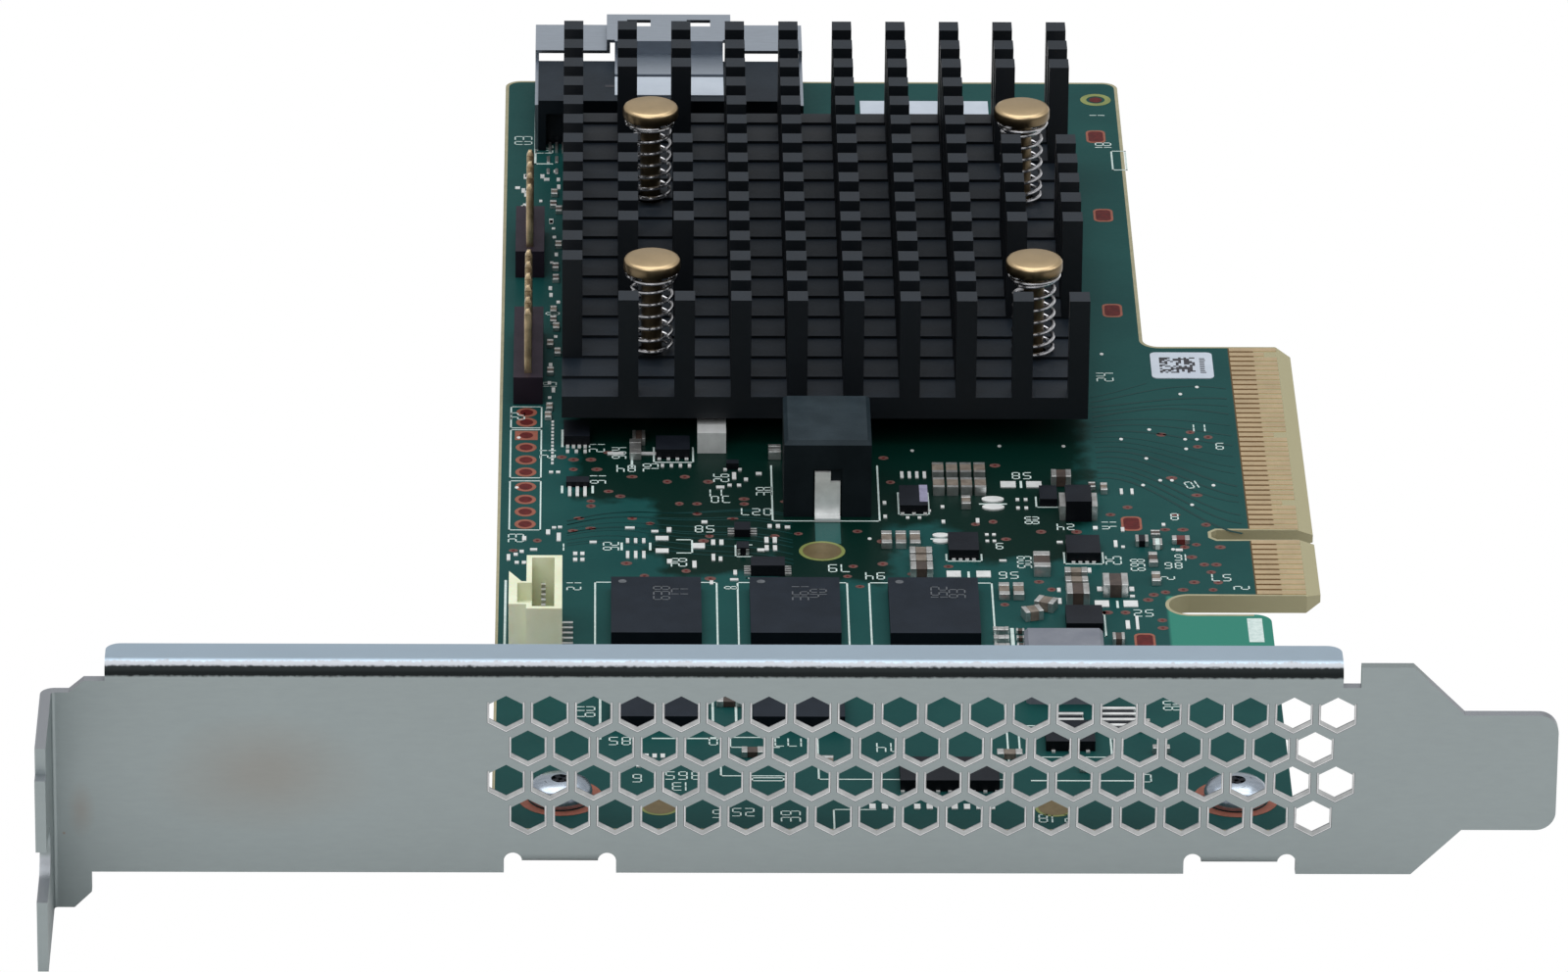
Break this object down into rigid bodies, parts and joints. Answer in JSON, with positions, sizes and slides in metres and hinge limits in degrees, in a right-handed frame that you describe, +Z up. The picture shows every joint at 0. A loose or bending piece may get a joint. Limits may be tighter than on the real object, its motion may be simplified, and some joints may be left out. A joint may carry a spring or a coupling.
{
  "type": "raid_controller_card",
  "caption": "Low-profile storage controller card on a full-height vented bracket, with a cross-cut black heatsink held by brass spring pins and a drive connector at the far edge",
  "frame": {"origin": "centre of the key notch at the tip of the edge connector, on the component face", "axes": "X across the card towards the edge connector's tip, Y along the card away from the bracket, Z up from the component face"},
  "size_m": [0.1209, 0.1687, 0.0216],
  "materials": {
    "board": "solder mask over laminate, dark teal green",
    "gold": "gold over nickel",
    "bracket_steel": "nickel-plated sheet, faintly rolled",
    "screw_steel": "plated machine screw",
    "heatsink_finish": "anodised blue-black",
    "brass": "turned brass",
    "spring_steel": "drawn wire",
    "carrier": "laminate carrier",
    "lid_metal": "nickel-plated lid",
    "thermal_rubber": "soft grey filled pad",
    "chip_mould": "moulded black epoxy",
    "choke_core": "pressed iron powder, slate grey",
    "tin": "tinned metal",
    "black_plastic": "moulded black plastic",
    "shell_steel": "plated folded shell",
    "cream_plastic": "natural nylon",
    "ceramic_tan": "tan ceramic",
    "label_paper": "white paper label"
  },
  "bodies": {
    "root": {"circuit_board": "board", "edge_contacts": "gold", "near_header_posts": "gold", "far_header_posts": "gold", "bracket": "bracket_steel", "bracket_screws": "screw_steel", "heatsink": "heatsink_finish", "spring_pins": "brass", "heatsink_springs": "spring_steel", "controller_carrier": "carrier", "controller_lid": "lid_metal", "thermal_pad": "thermal_rubber", "memory_chip_1": "chip_mould", "memory_chip_2": "chip_mould", "memory_chip_3": "chip_mould", "memory_chip_4": "chip_mould", "memory_chip_5": "chip_mould", "line_regulator": "chip_mould", "logic_gate": "chip_mould", "flash_memory": "chip_mould", "clock_driver": "chip_mould", "power_switch": "chip_mould", "sense_amplifier": "chip_mould", "voltage_supervisor": "chip_mould", "power_diode": "chip_mould", "small_transistor": "chip_mould", "level_shifter": "chip_mould", "reset_gate": "chip_mould", "gate_driver": "chip_mould", "coil_driver": "chip_mould", "backup_switch": "chip_mould", "voltage_monitor": "chip_mould", "power_choke": "choke_core", "flat_inductor": "choke_core", "choke_straps": "tin", "inductor_feet": "tin", "port_tails": "tin", "socket_leads": "tin", "socket_blades": "tin", "package_leads": "tin", "capacitor_ends": "tin", "silver_capacitor": "tin", "port_housing": "black_plastic", "port_blade": "black_plastic", "near_header_carrier": "black_plastic", "far_header_carrier": "black_plastic", "port_shell": "shell_steel", "power_socket": "cream_plastic", "ceramic_capacitors": "ceramic_tan", "solder_side_capacitors": "ceramic_tan", "port_label": "label_paper", "board_label": "label_paper", "code_label": "label_paper"}
  },
  "joints": []
}
